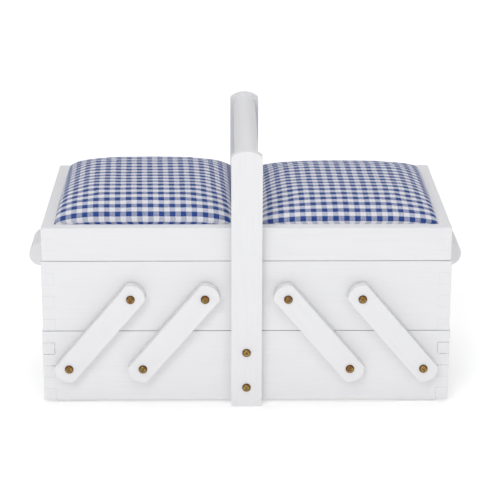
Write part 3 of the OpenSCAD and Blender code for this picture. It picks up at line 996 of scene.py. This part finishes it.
def countersunk_screw(radius, length):
    """One small countersunk screw along Z, its head's top at 0, with a cross recess."""
    bpy.ops.mesh.primitive_cone_add(vertices=40, radius1=0.0011, radius2=radius, depth=0.0009,
                                    location=(0, 0, -0.00045))
    screw = bpy.context.object
    bake_place(screw)
    with editing(screw, "FACE"):
        pick(screw, "faces", lambda face: face.normal.z < -0.9)
        extrude(0, 0, 0.0009 - length)
        bpy.ops.transform.resize(value=(0.8, 0.8, 1))
    screw.data.materials.append(finish_named("brass"))
    cutter = recess_cutter(0.0007, 0.0012, 0.0004)
    # The recess takes the material with painted shade.
    cutter.data.materials.append(finish_named("recess"))
    cut_with(screw, cutter, material_mode="TRANSFER")
    smooth(screw, 40)
    return screw


class SEWINGBOX_OT_screws(Operator):
    """Drives the round-headed screws through the arms and the uprights"""

    bl_idname = "sewing_box.screws"
    bl_label = "Pan-head screws"

    def execute(self, context):
        groups = ["handle_screws", "base_pivot_screws", "left_tray_pivot_screws", "right_tray_pivot_screws"]
        for number, name in enumerate(groups):
            places = islands(name)
            low, high = next(box for box in places if box[0].y < 0)
            pattern = pan_head_screw((places[0][1].z - places[0][0].z) / 2, high.y - low.y - HEAD_HEIGHT)
            copies = []
            for index, (low, high) in enumerate(places):
                facing = -1 if low.y < 0 else 1
                under_head = (low.y + HEAD_HEIGHT) if facing < 0 else (high.y - HEAD_HEIGHT)
                spot = Matrix.Translation(((low.x + high.x) / 2, under_head, (low.z + high.z) / 2))
                stand = Matrix.Rotation(-facing * math.pi / 2, 4, "X")
                turn = Matrix.Rotation(0.7 + 1.9 * index + 0.8 * number, 4, "Z")
                copies.append(stamped(pattern, "screw_copy", spot @ stand @ turn))
            bpy.data.objects.remove(pattern)
            place(joined(copies, f"{name}_plated"), name)
        return {"FINISHED"}


class SEWINGBOX_OT_washers(Operator):
    """Plates the washers behind the arms"""

    bl_idname = "sewing_box.washers"
    bl_label = "Washers"

    def execute(self, context):
        for name in ("base_pivot_washers", "left_tray_pivot_washers", "right_tray_pivot_washers"):
            piece = copy_of(name, f"{name}_plated")
            rounded(piece, lambda edge: crease(edge, 60), 0.0001, 1)
            smooth(piece)
            place(piece, name, finish_named("zinc"))
        return {"FINISHED"}


class SEWINGBOX_OT_hinges(Operator):
    """Fits the lids' brass hinges: leaves, knuckles and pins"""

    bl_idname = "sewing_box.hinges"
    bl_label = "Hinges"

    def execute(self, context):
        for side in SIDES:
            for name in (f"{side}_tray_hinge_leaves", f"{side}_lid_hinge_leaves", f"{side}_hinge_pins"):
                piece = copy_of(name, f"{name}_brass")
                rounded(piece, lambda edge: crease(edge, 70), 0.00012, 2)
                smooth(piece)
                place(piece, name, finish_named("brass"))
        return {"FINISHED"}


class SEWINGBOX_OT_hinge_screws(Operator):
    """Drives the small countersunk screws of the hinges"""

    bl_idname = "sewing_box.hinge_screws"
    bl_label = "Hinge screws"

    def execute(self, context):
        pattern = None
        for side in SIDES:
            for part, way in (("tray", 1), ("lid", -1)):
                name = f"{side}_{part}_hinge_screws"
                copies = []
                for index, (low, high) in enumerate(islands(name)):
                    if pattern is None:
                        pattern = countersunk_screw((high.x - low.x) / 2, high.z - low.z)
                    flip = Matrix.Identity(4) if way > 0 else Matrix.Rotation(math.pi, 4, "X")
                    spot = Matrix.Translation(((low.x + high.x) / 2, (low.y + high.y) / 2,
                                               high.z if way > 0 else low.z))
                    turn = Matrix.Rotation(0.4 + 1.3 * index, 4, "Z")
                    copies.append(stamped(pattern, "screw_copy", spot @ flip @ turn))
                place(joined(copies, f"{name}_brass"), name)
        bpy.data.objects.remove(pattern)
        return {"FINISHED"}


# ---- Cushions ----

PAD_CELL = 0.004
PAD_CROWDING = 0.75
PAD_GAP_LEFT = 0.00005
# How far in from its ends and from its front and back each cushion goes on rising, and how it flattens.
PAD_RISE = {"left": ((0.056, 2.8), (0.0602, 1.68)), "right": ((0.086, 3.9), (0.0605, 1.21))}
PAD_EDGE = 0.355
# Where each cover was cut from the gingham, and how far its stripes lean.
COVER_CUT = {"left": ((0.00821, 0.00283), 0.044), "right": ((0.00569, 0.00773), 0.015)}
UNEVENNESS = 0.00035


def crown_share(distance, rise):
    """How much of a cushion's height is reached at a distance from its edge."""
    reach, power = rise
    left = 1 - np.clip(distance / reach, 0, 1)
    return (1 - left ** power) ** PAD_EDGE


def cushion_block(name, low, high, rim, crown, rise):
    """The stuffed pad before its cover is pulled tight: a gridded crown on straight sides and a flat base."""
    spread = Vector((0.0004 - PAD_GAP_LEFT, 0.0004 - PAD_GAP_LEFT, 0))
    low, high = low - spread, high + spread
    across, deep = high.x - low.x, high.y - low.y
    columns, rows = (2 * round(size / PAD_CELL / 2) for size in (across, deep))
    bpy.ops.mesh.primitive_grid_add(x_subdivisions=columns, y_subdivisions=rows, size=1,
                                    location=((low.x + high.x) / 2, (low.y + high.y) / 2, rim))
    pad = bpy.context.object
    pad.name = name
    pad.scale = (across, deep, 1)
    bake_place(pad)
    flat = np.array([vert.co for vert in pad.data.vertices])
    for axis in (0, 1):
        share = (flat[:, axis] - low[axis]) / (high[axis] - low[axis])
        share = share - PAD_CROWDING * np.sin(2 * math.pi * share) / (2 * math.pi)
        flat[:, axis] = low[axis] + share * (high[axis] - low[axis])
    to_side = np.minimum(flat[:, 0] - low.x, high.x - flat[:, 0])
    to_end = np.minimum(flat[:, 1] - low.y, high.y - flat[:, 1])
    shaped = flat.copy()
    shaped[:, 2] = rim + crown * crown_share(to_side, rise[0]) * crown_share(to_end, rise[1])
    pad.data.vertices.foreach_set("co", shaped.astype(np.float32).ravel())
    with editing(pad):
        bpy.ops.mesh.region_to_loop()
        for _ in range(2):
            extrude(0, 0, (low.z - rim) / 2)
        bpy.ops.mesh.edge_face_add()
        bpy.ops.mesh.select_all(action="SELECT")
        bpy.ops.mesh.normals_make_consistent(inside=False)
    return pad, columns + 1, rows + 1


def pull_cover_tight(pad, rim, swell):
    """Lets the filling press on the cover as a cloth held at its rim, and limits how far it goes."""
    held = pad.vertex_groups.new(name="held")
    held.add([vert.index for vert in pad.data.vertices if vert.co.z <= rim + 1e-5], 1.0, "REPLACE")
    before = np.array([vert.co for vert in pad.data.vertices])
    outward = np.array([vert.normal for vert in pad.data.vertices])
    choose(pad)
    bpy.ops.object.modifier_add(type="CLOTH")
    modifier = pad.modifiers[-1]
    cloth = modifier.settings
    cloth.quality = 5
    cloth.mass = 0.2
    cloth.tension_stiffness = cloth.compression_stiffness = 15
    cloth.shear_stiffness = 5
    cloth.bending_stiffness = 0.6
    cloth.use_pressure = True
    cloth.uniform_pressure_force = 8
    cloth.vertex_group_mass = "held"
    cloth.effector_weights.gravity = 0
    modifier.point_cache.frame_end = 20
    for step in range(1, 21):
        bpy.context.scene.frame_set(step)
    bpy.ops.object.modifier_apply(modifier=modifier.name)
    bpy.context.scene.frame_set(1)
    after = np.array([vert.co for vert in pad.data.vertices])
    pushed = ((after - before) * outward).sum(axis=1, keepdims=True)
    after = before + outward * np.clip(pushed, 0, swell)
    pad.data.vertices.foreach_set("co", after.astype(np.float32).ravel())
    pad.vertex_groups.clear()


def map_weave(pad, columns, rows, start, skew):
    """Measures the cover along its own rows and columns, so that the checks stay square as it curves."""
    points = np.array([vert.co for vert in pad.data.vertices])
    top = points[:columns * rows].reshape(rows, columns, 3)
    along = np.linalg.norm(np.diff(top, axis=1), axis=2)
    deep = np.linalg.norm(np.diff(top, axis=0), axis=2)
    u = np.concatenate([np.zeros((rows, 1)), np.cumsum(along, axis=1)], axis=1)
    v = np.concatenate([np.zeros((1, columns)), np.cumsum(deep, axis=0)], axis=0)
    u -= u[:, [columns // 2]]
    v += v[rows // 2, columns // 2] - v[[rows // 2], :]
    flat = np.zeros((len(points), 2))
    flat[:columns * rows, 0], flat[:columns * rows, 1] = u.ravel(), v.ravel()
    rest = points[columns * rows:]
    centre = top[rows // 2, columns // 2]
    flat[columns * rows:] = rest[:, :2] - centre[:2] + np.sign(rest[:, :2] - centre[:2]) * (
        centre[2] - rest[:, [2]]) * 0.5 + (0, v[rows // 2, columns // 2])
    flat[:, 0] += skew * (flat[:, 1] - 0.05)
    flat += start
    layer = pad.data.uv_layers.new(name="weave")
    corners = np.array([loop.vertex_index for loop in pad.data.loops])
    layer.data.foreach_set("uv", flat[corners].astype(np.float32).ravel())


def unevenness(pad, rim):
    """The slight lumps and hollows of hand stuffing."""
    for vert in pad.data.vertices:
        if vert.co.z > rim + 0.001:
            share = min(1, (vert.co.z - rim) / 0.008)
            lumps = noise.noise(vert.co * 38) + 0.5 * noise.noise(vert.co * 95)
            vert.co.z += UNEVENNESS * share * lumps


class SEWINGBOX_OT_cushions(Operator):
    """Stuffs the lids' cushions and covers them in gingham"""

    bl_idname = "sewing_box.cushions"
    bl_label = "Cushions"

    def execute(self, context):
        cushion = settings().cushion
        for side in SIDES:
            name = f"{side}_lid_cushion"
            low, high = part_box(name)
            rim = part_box(f"{side}_lid_front_rail")[1].z
            crown = cushion.left_crown if side == "left" else cushion.right_crown
            swell = cushion.swell
            pad, columns, rows = cushion_block(f"{name}_gingham", low, high, rim, crown - swell,
                                               PAD_RISE[side])
            pull_cover_tight(pad, rim, swell)
            unevenness(pad, rim)
            map_weave(pad, columns, rows, *COVER_CUT[side])
            choose(pad)
            bpy.ops.object.shade_smooth()
            modify(pad, "SUBSURF", levels=1, use_limit_surface=False)
            place(pad, name, finish_named("gingham"))
        return {"FINISHED"}


# ---- Panel and main ----

OPERATORS = (
    SEWINGBOX_OT_stage,
    SEWINGBOX_OT_boards,
    SEWINGBOX_OT_panels,
    SEWINGBOX_OT_dividers,
    SEWINGBOX_OT_feet,
    SEWINGBOX_OT_uprights,
    SEWINGBOX_OT_crossbar,
    SEWINGBOX_OT_arms,
    SEWINGBOX_OT_pulls,
    SEWINGBOX_OT_screws,
    SEWINGBOX_OT_washers,
    SEWINGBOX_OT_hinges,
    SEWINGBOX_OT_hinge_screws,
    SEWINGBOX_OT_cushions,
)


class SEWINGBOX_PT_sidebar(Panel):
    """Lists the pieces of the sewing box"""

    bl_idname = "SEWINGBOX_PT_sidebar"
    bl_label = "Sewing Box"
    bl_space_type = "VIEW_3D"
    bl_region_type = "UI"
    bl_category = "Sewing Box"

    def draw(self, context):
        for group in ("paint", "cushion", "metal", "stage"):
            box = self.layout.box()
            chosen = getattr(context.scene.sewing_box, group)
            for name in chosen.bl_rna.properties.keys():
                if name not in ("rna_type", "name"):
                    box.prop(chosen, name)
        for operator in OPERATORS:
            self.layout.operator(operator.bl_idname)


CLASSES = (PaintSettings, CushionSettings, MetalSettings, StageSettings, SewingBoxSettings, *OPERATORS,
           SEWINGBOX_PT_sidebar)


def register():
    for cls in CLASSES:
        bpy.utils.register_class(cls)
    bpy.types.Scene.sewing_box = PointerProperty(type=SewingBoxSettings)


def unregister():
    del bpy.types.Scene.sewing_box
    for cls in reversed(CLASSES):
        bpy.utils.unregister_class(cls)


def main():
    register()
    choose(None)
    for operator in OPERATORS:
        group, name = operator.bl_idname.split(".")
        getattr(getattr(bpy.ops, group), name)()
    choose(None)


if __name__ == "__main__":
    main()
